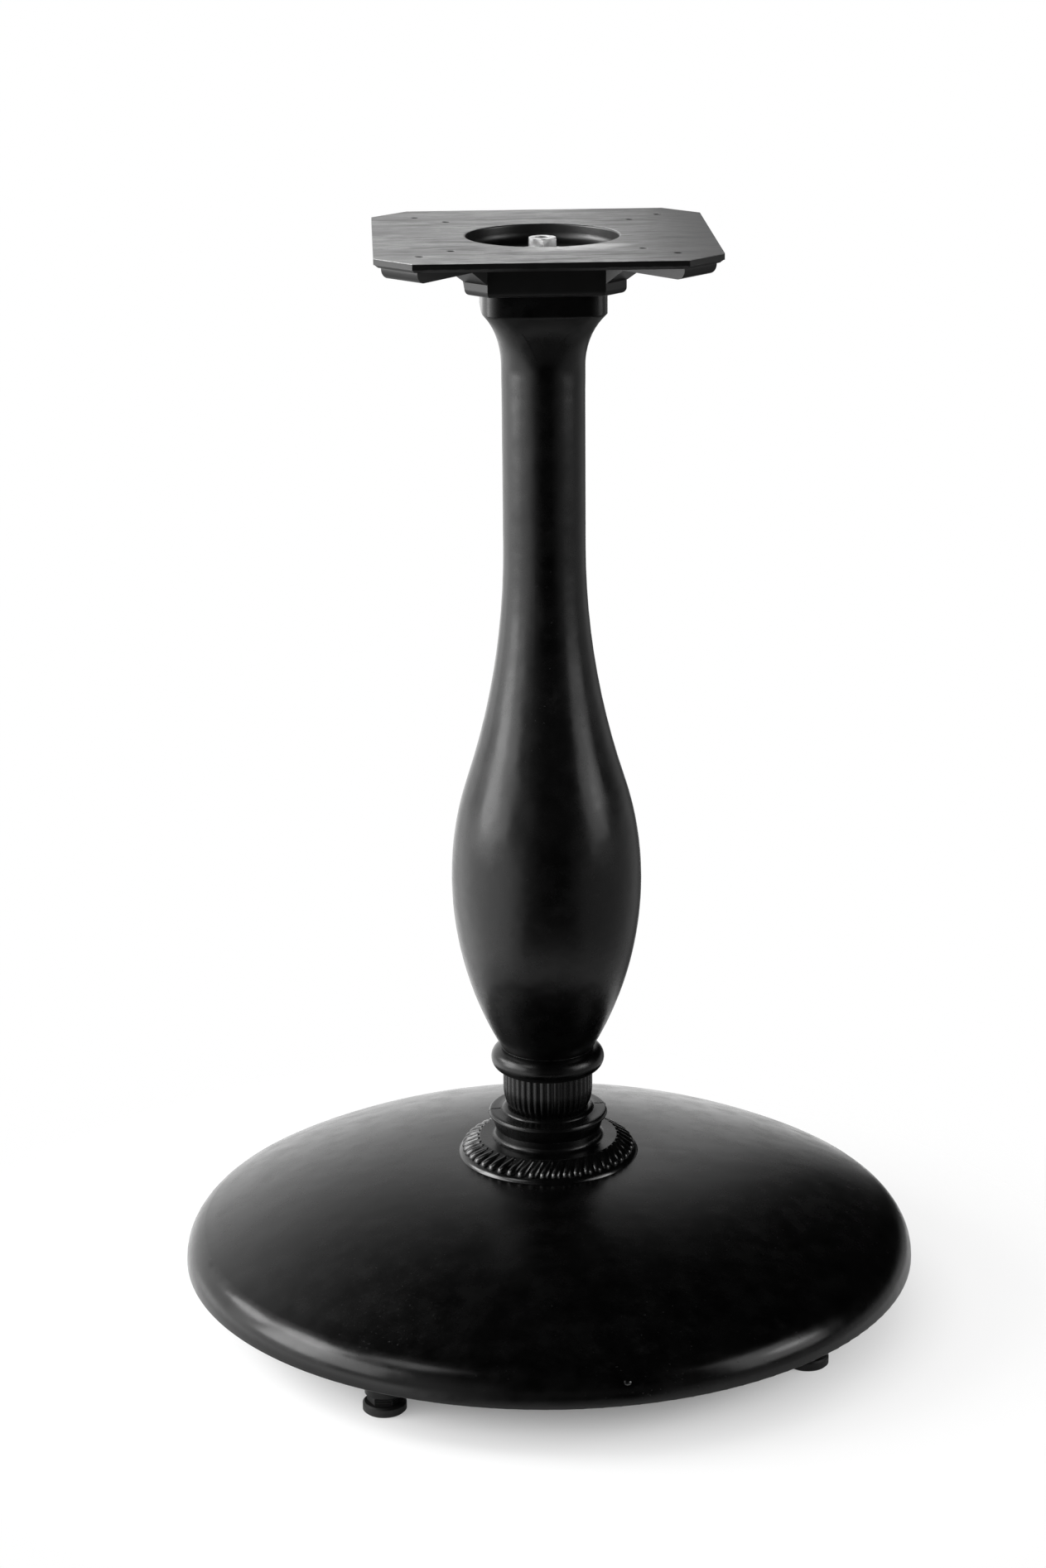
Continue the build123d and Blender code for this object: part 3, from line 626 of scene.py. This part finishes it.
highlight_band = ramp(tree, from_recess, RECESS_RADIUS + BAND_WIDTH, RECESS_RADIUS - BAND_WIDTH / 2)
highlight_band = product(
    tree, ramp(tree, across_y, *BAND_FRONT), ramp(tree, across_x, *BAND_RIGHT), highlight_band,
    ramp(tree, belt, *BAND_SPAN),
)
print("plate face at", round(plate_high.z, 4))

# %% Colour and shine of the ground face
# the face's grey: partly its own, partly a painted reflection of the backdrop in place of a real sheen
ground = mix_colour(tree, streak, *GROUND_AND_SHEEN_GREY)
far_right = product(tree, ramp(tree, across_x, *FAR_RIGHT), FAR_RIGHT_SHARE)
ground = mix_colour(tree, far_right, ground, FAR_RIGHT_GREY)
# painted highlight along the recess's front right edge
ground = mix_colour(tree, highlight_band, ground, HIGHLIGHT_BAND_GREY)
ground = mix_colour(tree, product(tree, smear, SMEAR_SHARE), ground, SMEAR_GREY)
rough = ramp(tree, streak, 0.0, 1.0, *GROUND_ROUGHNESS)
right_rough = product(tree, ramp(tree, across_x, *RIGHT_HALF), RIGHT_ROUGHNESS)
rough = math_node(tree, "ADD", rough, right_rough)
rough = math_node(tree, "ADD", rough, product(tree, smear, SMEAR_ROUGHNESS))
# With plain values this node's A and B are its sockets 2 and 3
blend = add(tree, "ShaderNodeMix", data_type="FLOAT")
for slot, socket in ((0, face), (2, plate_paint.shine), (3, rough)):
    link(tree, socket, blend.inputs[slot])
finish(
    plate_paint,
    mix_colour(tree, face, plate_paint.colour, ground),
    blend.outputs[0],
    bumped(tree, product(tree, belt, face), SCRATCH_BUMP, SCRATCH_DEPTH, plate_paint.normal),
)
wall = [RECESS_RADIUS + margin for margin in RECESS_MARGIN]
glaze = ramp(tree, axis_distance(tree), *wall, SIDE_COAT, RECESS_COAT)
glaze = product(tree, glaze, math_node(tree, "SUBTRACT", 1.0, face))
link(tree, glaze, plate_paint.shader.inputs["Coat Weight"])
print("ground face finished:", plate_paint.material.name)

# %% [markdown]
# Zinc on the nuts, washers and rod
#
# The nuts and washers are bright zinc: a metal with a fine spangle and a roughness that changes
# from crystal to crystal. The rod's end is dull and dark. A picture of zinc would do, but the
# casting skin's group gives both, with a finer grain and much shorter waves than on the castings.

# %% Zinc
METAL_SPAN = (0.3, 0.7)
SPANGLE_SPAN = (0.35, 0.75)
ZINC_GREY = (0.62, 0.9)
ZINC_SPECK_GREY = 0.25
ZINC_ROUGHNESS = (0.28, 0.5)
DULL_GREY = (0.03, 0.12)
DULL_ROUGHNESS = (0.45, 0.65)

zinc = new_material("bright_zinc", Metallic=0.9)
tree = zinc.tree
spangle = placed(tree, skin, Grain=1500.0, Wave=240.0)
tired = placed(tree, dust, Size=900.0, Share=0.5)
tone = mix_colour(tree, ramp(tree, spangle["Mottle"], *METAL_SPAN), *ZINC_GREY)
finish(
    zinc,
    mix_colour(tree, tired["Specks"], tone, ZINC_SPECK_GREY),
    ramp(tree, spangle["Height"], *SPANGLE_SPAN, *ZINC_ROUGHNESS),
    bumped(tree, spangle["Height"], strength=0.25, distance=0.0001, normal=soft_edges(tree, 0.0003)),
)

dull_zinc = new_material("dull_zinc", Metallic=0.6)
tree = dull_zinc.tree
aged = placed(tree, skin, Grain=1200.0, Wave=160.0)
finish(
    dull_zinc,
    mix_colour(tree, ramp(tree, aged["Mottle"], *METAL_SPAN), *DULL_GREY),
    ramp(tree, aged["Mottle"], *METAL_SPAN, *DULL_ROUGHNESS),
    bumped(tree, aged["Height"], strength=0.3, distance=0.0002),
)
print("zincs:", zinc.material.name, dull_zinc.material.name)

# %% [markdown]
# Blackened steel on the glides' studs
#
# The studs are blackened steel with a screw thread. The thread could be cut as a helix, but at this
# size a bump does: a zigzag in height, one tooth to each pitch, with the skin's grain on top.

# %% Steel
THREAD_PITCH = 0.0015     # metres
THREAD_BUMP = 0.9
THREAD_DEPTH = 0.0008
SKIN_SHARE = 0.1          # of the skin's height beside the thread's
STEEL_GREY = (0.002, 0.006)
STEEL_WORN_GREY = 0.02
STEEL_ROUGHNESS = (0.4, 0.6)

steel = new_material("black_oxide", Metallic=0.1, Specular_IOR_Level=0.25)
tree = steel.tree
skinned = placed(tree, skin, Grain=1800.0, Wave=120.0)
worn = placed(tree, rubbed, Width=0.0005)
tone = mix_colour(tree, ramp(tree, skinned["Mottle"], *METAL_SPAN), *STEEL_GREY)
turns = math_node(tree, "DIVIDE", split(tree, object_place(tree))["Z"], THREAD_PITCH)
flank = math_node(tree, "PINGPONG", turns, 0.5)
cut = math_node(tree, "ADD", flank, product(tree, skinned["Height"], SKIN_SHARE))
finish(
    steel,
    mix_colour(tree, worn["Edge"], tone, STEEL_WORN_GREY),
    ramp(tree, skinned["Mottle"], *METAL_SPAN, *STEEL_ROUGHNESS),
    bumped(tree, cut, THREAD_BUMP, THREAD_DEPTH),
)
print("steel with a pitch of", THREAD_PITCH, "m")

# %% [markdown]
# Moulded plastic on the glides' pads
#
# The pads are moulded from black plastic, with the fine matt grain of the tool and a film of floor
# dirt. The grain could be modelled, but is far too small to show an outline. A bump with a finer and
# deeper grain, and a higher roughness, set the pads apart from the paint.

# %% Plastic
PLASTIC_SPAN = (0.3, 0.75)
PLASTIC_GREY = (0.003, 0.008)
PLASTIC_ROUGHNESS = (0.42, 0.58)
DIRT_GREY = 0.03

plastic = new_material("moulded_black", Specular_IOR_Level=0.35)
tree = plastic.tree
matt = placed(tree, skin, Grain=2600.0, Wave=60.0, Grain_Height=0.4)
dirt = placed(tree, dust, Size=700.0, Share=0.4)
tone = mix_colour(tree, ramp(tree, matt["Mottle"], *PLASTIC_SPAN), *PLASTIC_GREY)
finish(
    plastic,
    mix_colour(tree, dirt["Film"], tone, DIRT_GREY),
    ramp(tree, matt["Mottle"], *PLASTIC_SPAN, *PLASTIC_ROUGHNESS),
    bumped(tree, matt["Height"], strength=0.3, distance=0.00015),
)
print("plastic:", plastic.material.name)

# %% [markdown]
# Dressing the solids
#
# Each solid of the model is one physical piece in one material, so its slots are emptied and filled
# with that one finish. The meshes themselves stay as they came.

# %% Dress the nodes
def dress(coat, *names):
    """Gives CAD nodes one material in all their slots."""
    for name in names:
        mesh = nodes[name].data
        mesh.materials.clear()
        mesh.materials.append(coat.material)


GLIDES = range(1, 5)
dress(paint, "base_dome")
dress(column_paint, "column")
dress(plate_paint, "top_plate")
dress(dull_zinc, "tie_rod")
dress(zinc, "top_washer", "top_nut", "bottom_washer", "bottom_nut")
dress(steel, *(f"glide_stud_{number}" for number in GLIDES))
dress(plastic, *(f"glide_pad_{number}" for number in GLIDES))
print("dressed", len(nodes), "nodes")

# %% [markdown]
# Pieces as grids
#
# Every added form below is a grid of points that a formula gives all at once. It could be modelled
# by hand and stored in a file, but a formula stays open to change. One helper turns such a grid, or
# many copies of it, into a smooth mesh that rides on a body of the model.

# %% Grid helpers
MERGE_DISTANCE = 1e-6     # metres


def grid_piece(name, grids, coat, body, around=False):
    """One mesh from an array of grids (copies, rows, columns, 3); around closes the columns."""
    copies, rows, columns, _ = grids.shape
    steps = columns if around else columns - 1
    row, column = np.meshgrid(np.arange(rows - 1), np.arange(steps), indexing="ij")
    here = row * columns + column
    beside = row * columns + (column + 1) % columns
    quad = np.stack([here, beside, beside + columns, here + columns], -1).reshape(-1, 4)
    quads = (quad[None] + (np.arange(copies) * rows * columns)[:, None, None]).reshape(-1, 4)
    mesh = bpy.data.meshes.new(name)
    mesh.from_pydata(grids.reshape(-1, 3).tolist(), [], quads.tolist())
    shell = bmesh.new()
    shell.from_mesh(mesh)
    bmesh.ops.remove_doubles(shell, verts=shell.verts, dist=MERGE_DISTANCE)
    bmesh.ops.recalc_face_normals(shell, faces=shell.faces)
    shell.to_mesh(mesh)
    shell.free()
    mesh.polygons.foreach_set("use_smooth", np.ones(len(mesh.polygons), bool))
    mesh.materials.append(coat.material)
    piece = bpy.data.objects.new(name, mesh)
    bpy.context.scene.collection.objects.link(piece)
    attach(piece, body)
    print(name, len(mesh.polygons), "faces on", body)


def turned_about_z(points, angles):
    """Copies of a grid turned about the Z axis, one for each angle."""
    cos, sin = np.cos(angles)[:, None, None], np.sin(angles)[:, None, None]
    x, y, z = points[..., 0], points[..., 1], points[..., 2]
    level = np.broadcast_to(z, (len(angles), *z.shape))
    return np.stack([x * cos - y * sin, x * sin + y * cos, level], -1)


def ring_grid(radius, angle, height):
    """One grid from arrays of radius, angle about the Z axis, and height."""
    level = np.broadcast_to(height, radius.shape)
    return np.stack([radius * np.cos(angle), radius * np.sin(angle), level], -1)[None]


def smooth(share):
    """Smooth step from 0 to 1."""
    share = np.clip(share, 0, 1)
    return share * share * (3 - 2 * share)


print("grid helpers ready")

# %% [markdown]
# The rope ring
#
# The carver's rope is a ring of slanted strands, fat and round at the outer end and fine at the
# inner end. In the solid each strand is two cones, which is enough for its size and place. Here a
# smooth drop lies over each: its radius swells along the strand and closes as an ellipse.

# %% Rope strands
STRAND_COUNT = 46
STRAND_INNER = (0.0470, 0.1215)     # radius and height of the ring's slope, inner end
STRAND_OUTER = (0.0586, 0.1120)
STRAND_LENGTH = 0.0162
STRAND_RADIUS = 0.00348
STRAND_SINK = 0.0009
STRAND_SLANT = math.radians(24.0)
STRAND_FINE = 0.46                  # radius at the inner end, as a share of the largest
STRAND_SWELL = 0.7                  # share of the length by which it is largest
STRAND_OUTER_END = 0.2              # shares of the length over which the ends close
STRAND_INNER_END = 0.08
STRAND_ROWS = 22
STRAND_COLUMNS = 16


def rope_strand(rows, columns):
    """Drop about a slanted line on the ring's slope.

    The share t runs from 0 at the fine inner end to 1 at the outer end. The radius swells smoothly
    from its fine share to the largest, and closes as a quarter ellipse over each end."""
    spread = (1 - np.cos(np.pi * np.linspace(0, 1, rows))) / 2
    t, turn = np.meshgrid(spread, np.arange(columns) / columns, indexing="ij")
    body = STRAND_FINE + (1 - STRAND_FINE) * smooth(t / STRAND_SWELL)
    outer_end = np.sqrt(1 - np.clip((t - 1) / STRAND_OUTER_END + 1, 0, 1) ** 2)
    inner_end = np.sqrt(1 - np.clip(1 - t / STRAND_INNER_END, 0, 1) ** 2)
    radius = STRAND_RADIUS * body * outer_end * inner_end
    slope = np.array([STRAND_OUTER[0] - STRAND_INNER[0], 0, STRAND_OUTER[1] - STRAND_INNER[1]])
    slope = slope / np.linalg.norm(slope)
    normal = np.array([-slope[2], 0, slope[0]])
    across = np.array([0.0, 1.0, 0.0])
    middle = np.array([STRAND_INNER[0] + STRAND_OUTER[0], 0, STRAND_INNER[1] + STRAND_OUTER[1]]) / 2
    middle = middle - normal * STRAND_SINK
    along = slope * math.cos(STRAND_SLANT) - across * math.sin(STRAND_SLANT)
    aside = across * math.cos(STRAND_SLANT) + slope * math.sin(STRAND_SLANT)
    line = middle + (t[..., None] - 0.5) * STRAND_LENGTH * along
    angle = 2 * np.pi * turn[..., None]
    return line + radius[..., None] * (np.cos(angle) * aside + np.sin(angle) * normal)


strand_angles = 2 * np.pi * np.arange(STRAND_COUNT) / STRAND_COUNT
strands = turned_about_z(rope_strand(STRAND_ROWS, STRAND_COLUMNS), strand_angles)
grid_piece("rope_strands", strands, polished, "base", around=True)

# %% [markdown]
# Paint-filled corners
#
# Thick paint rounds off what the turner cut sharp. It fills the shallow channel on top of the
# plinth into one smooth slope with a rounded edge, and it runs together into a bead along the lip
# of the rope ring. A Bevel modifier would round the solid's edges but not fill its channel, so both
# are profiles turned about the column's axis and laid just over the solid.

# %% Turned beads
PLINTH_TOP = 0.1411                 # metres above the floor
PLINTH_EDGE = 0.0380                # radius of the middle of the rounded edge
PLINTH_ROUND = 0.0025
PLINTH_ARC = (90, -20, 14)          # degrees from and to, and points
PLINTH_INSIDE = ((0.0302, 0.1419), (0.0325, 0.1414), (0.0350, PLINTH_TOP))     # radius and height
PLINTH_BELOW = ((0.0384, 0.1372), (0.0372, 0.1362))
LIP_CENTRE = (0.05636, 0.10767)
LIP_ROUND = 0.00568
LIP_ARC = (18, 74, 12)
PLINTH_SPOKES = 128
LIP_SPOKES = 160


def arc(centre, radius, start, stop, steps):
    """Points of a circle in the radius and height plane, from one angle in degrees to another."""
    angle = np.radians(np.linspace(start, stop, steps))
    return np.stack([centre[0] + radius * np.cos(angle), centre[1] + radius * np.sin(angle)], -1)


def turned(profile, spokes):
    """Profile of radius and height carried once round the Z axis: one grid of points by spokes."""
    angle = 2 * np.pi * np.arange(spokes)[None] / spokes
    radius, height = np.asarray(profile).T[..., None]
    return ring_grid(np.broadcast_to(radius, (len(profile), spokes)), angle, height)


plinth_edge = arc((PLINTH_EDGE, PLINTH_TOP - PLINTH_ROUND), PLINTH_ROUND, *PLINTH_ARC)
plinth_cover = np.vstack([PLINTH_INSIDE, plinth_edge, PLINTH_BELOW])
grid_piece("plinth_paint", turned(plinth_cover, PLINTH_SPOKES), paint, "base", around=True)
lip_band = arc(LIP_CENTRE, LIP_ROUND, *LIP_ARC)
grid_piece("lip_paint", turned(lip_band, LIP_SPOKES), polished, "base", around=True)

# %% [markdown]
# The reeded cup
#
# Under the bead a short cup carries forty upright reeds. In the solid each reed is a round bar in
# three straight lengths. A smooth skin over them lets the studio run over each reed in one clean
# line: its radius is the cup's own profile plus a row of round humps, and the humps get lower
# towards the cup's foot.

# %% Cup skin
REED_COUNT = 40
REED_DEPTH = 0.0011
REED_FADE = 0.6                     # share of the depth that is gone at the foot
CUP_FOOT = (0.0263, 0.1436)         # radius and height
CUP_SHOULDER = (0.0305, 0.1592)
CUP_TOP = 0.1745
CUP_REACH = 0.9                     # part of the ellipse's quarter that the cup uses, squared
CUP_ROWS = 26
POINTS_PER_REED = 8


def reeded_cup(rows, per_reed):
    """Cup whose radius is an elliptic quarter from the foot to the shoulder, and plain above.

    Each reed adds the depth times (|cos(n angle / 2)| - 1), a round hump with a sharp valley."""
    height = np.linspace(CUP_FOOT[1], CUP_TOP, rows)[:, None]
    angle = 2 * np.pi * np.arange(REED_COUNT * per_reed)[None] / (REED_COUNT * per_reed)
    fall = np.clip((CUP_SHOULDER[1] - height) / (CUP_SHOULDER[1] - CUP_FOOT[1]), 0, 1)
    taper = (1 - np.sqrt(1 - CUP_REACH * fall ** 2)) / (1 - math.sqrt(1 - CUP_REACH))
    hump = np.abs(np.cos(REED_COUNT * angle / 2)) - 1
    radius = CUP_SHOULDER[0] - (CUP_SHOULDER[0] - CUP_FOOT[0]) * taper
    radius = radius + REED_DEPTH * hump * (1 - REED_FADE * fall ** 4)
    return ring_grid(radius, angle, height)


cup = reeded_cup(CUP_ROWS, POINTS_PER_REED)
grid_piece("cup_skin", cup, paint, "base", around=True)

# %% [markdown]
# The flare under the plate
#
# Below the plate the round neck opens into a square block. The solid lofts this through a few
# sections. A skin at most about half a millimetre over it takes the steps out, so that the highlight
# of the neck runs up into the corners: at each level the outline is a superellipse, a circle at the
# neck and nearly a square at the block.

# %% Flare skin
NECK_RADIUS = 0.0271
FLARE_LOW = 0.6557                 # metres above the floor
FLARE_HIGH = 0.6938
BLOCK_HALF = 0.0397
BLOCK_CORNER = 0.0125
SKIN_LOW = 0.630
SKIN_HIGH = 0.7076
SKIN_SUNK = 0.00015                # under the neck's surface where the skin starts
SKIN_RISE = 0.0003                 # from there to over the surface, within the next stretch
SKIN_RISE_LENGTH = 0.02
SKIN_PROUD = 0.0004                # further at the block
NECK_ROWS = 8
FLARE_ROWS = 26
BLOCK_ROWS = 3
BEND_STEPS = (0.0004, 0.001, 0.002)     # metres above the flare, close rows for the bend there
BLOCK_START = 0.004
FLARE_COLUMNS = 144


def flare_skin(columns):
    """Superellipses whose half width and corner reach grow along the flare.

    With u from 0 to 1 up the flare, the half width follows a circle's arc that is upright at the
    neck. The corner reach goes from the half width towards that of a rounded square, in proportion
    to u, and the exponent p is the one that gives this reach: 1 / (1/2 - log2(reach / half))."""
    height = np.concatenate([
        np.linspace(SKIN_LOW, FLARE_LOW, NECK_ROWS)[:-1],
        np.linspace(FLARE_LOW, FLARE_HIGH, FLARE_ROWS),
        FLARE_HIGH + np.array(BEND_STEPS),
        np.linspace(FLARE_HIGH + BLOCK_START, SKIN_HIGH, BLOCK_ROWS),
    ])[:, None]
    rise = FLARE_HIGH - FLARE_LOW
    u = np.clip((height - FLARE_LOW) / rise, 0, 1)
    growth = BLOCK_HALF - NECK_RADIUS
    bend = (rise ** 2 + growth ** 2) / (2 * growth)
    half = NECK_RADIUS + bend - np.sqrt(bend ** 2 - (u * rise) ** 2)
    square_reach = math.sqrt(2) * (half - BLOCK_CORNER) + BLOCK_CORNER
    reach = half + u * (square_reach - half)
    power = 1 / (0.5 - np.log2(reach / half))
    proud = SKIN_RISE * smooth((height - SKIN_LOW) / SKIN_RISE_LENGTH) - SKIN_SUNK + SKIN_PROUD * u ** 2
    angle = 2 * np.pi * np.arange(columns)[None] / columns
    reached = (np.abs(np.cos(angle)) ** power + np.abs(np.sin(angle)) ** power) ** (1 / power)
    return ring_grid(half / reached + proud, angle, height)


grid_piece("flare_skin", flare_skin(FLARE_COLUMNS), column_paint, "base", around=True)

# %% [markdown]
# A run of paint
#
# A drop of paint dried on the front of the rim. A bump could shade it, but would show nothing
# against the light, so it is a low cap of a paraboloid that leans with the rim's roll and is sunk
# into it a little.

# %% Paint drop
ROLL_CENTRE = (0.226, 0.0399)      # radius and height of the middle of the rim's roll
DROP_PLACE = (0.2465, 0.0525)
DROP_ANGLE = math.radians(-81.34)
DROP_SIZES = (0.0026, 0.0019, 0.0009)     # metres: half width, half length, height
DROP_SUNK = 0.3                    # share of the height under the surface
DROP_RINGS = 7
DROP_SPOKES = 20


def low_cap(centre, first, second, normal, sizes, rings, spokes):
    """Paraboloid cap: at share q of its reach it stands (1 - q * q) of its height over its foot."""
    q, turn = np.meshgrid(np.linspace(0, 1, rings), np.arange(spokes) / spokes, indexing="ij")
    a, b, tall = sizes
    along = (a * q * np.cos(2 * np.pi * turn))[..., None]
    across = (b * q * np.sin(2 * np.pi * turn))[..., None]
    up = (tall * (1 - q * q) - DROP_SUNK * tall)[..., None]
    return (centre + along * first + across * second + up * normal)[None]


outward = np.array([math.cos(DROP_ANGLE), math.sin(DROP_ANGLE), 0.0])
sideways = np.array([-math.sin(DROP_ANGLE), math.cos(DROP_ANGLE), 0.0])
upward = np.array([0.0, 0.0, 1.0])
tilt = math.atan2(DROP_PLACE[1] - ROLL_CENTRE[1], DROP_PLACE[0] - ROLL_CENTRE[0])
drop_normal = outward * math.cos(tilt) + upward * math.sin(tilt)
drop_down = outward * math.sin(tilt) - upward * math.cos(tilt)
drop_middle = outward * DROP_PLACE[0] + upward * DROP_PLACE[1]
drop = low_cap(drop_middle, sideways, drop_down, drop_normal, DROP_SIZES, DROP_RINGS, DROP_SPOKES)
grid_piece("paint_drop", drop, polished, "base", around=True)

# %% [markdown]
# Two parting lines
#
# Where the two halves of the mould met, a fine ridge crosses the top of the plinth on the left and
# on the right. Each is a strip along the plinth's paint with a parabola across it, and its edges are
# sunk a little so that it meets the surface without a step.

# %% Parting lines
PARTING_ANGLES = np.radians([180.0, 9.0])
PARTING_WIDTH = 0.0007
PARTING_HEIGHT = 0.00035
PARTING_SUNK = 0.0001
PARTING_POINTS = 7


def ridge_on_profile(profile, across):
    """Strip along the plane of X and Z: across it the height is the ridge's times 1 - s * s."""
    s = np.linspace(-1, 1, across)
    heading = np.gradient(np.asarray(profile), axis=0)
    heading = heading / np.linalg.norm(heading, axis=1, keepdims=True)
    stand = PARTING_HEIGHT * (1 - s * s) - PARTING_SUNK
    x = profile[:, :1] - heading[:, 1:] * stand
    z = profile[:, 1:] + heading[:, :1] * stand
    return np.stack([x, np.broadcast_to(s * PARTING_WIDTH, x.shape), z], -1)


parting = ridge_on_profile(plinth_cover[1:-len(PLINTH_BELOW)], PARTING_POINTS)
grid_piece("parting_lines", turned_about_z(parting, PARTING_ANGLES), paint, "base")
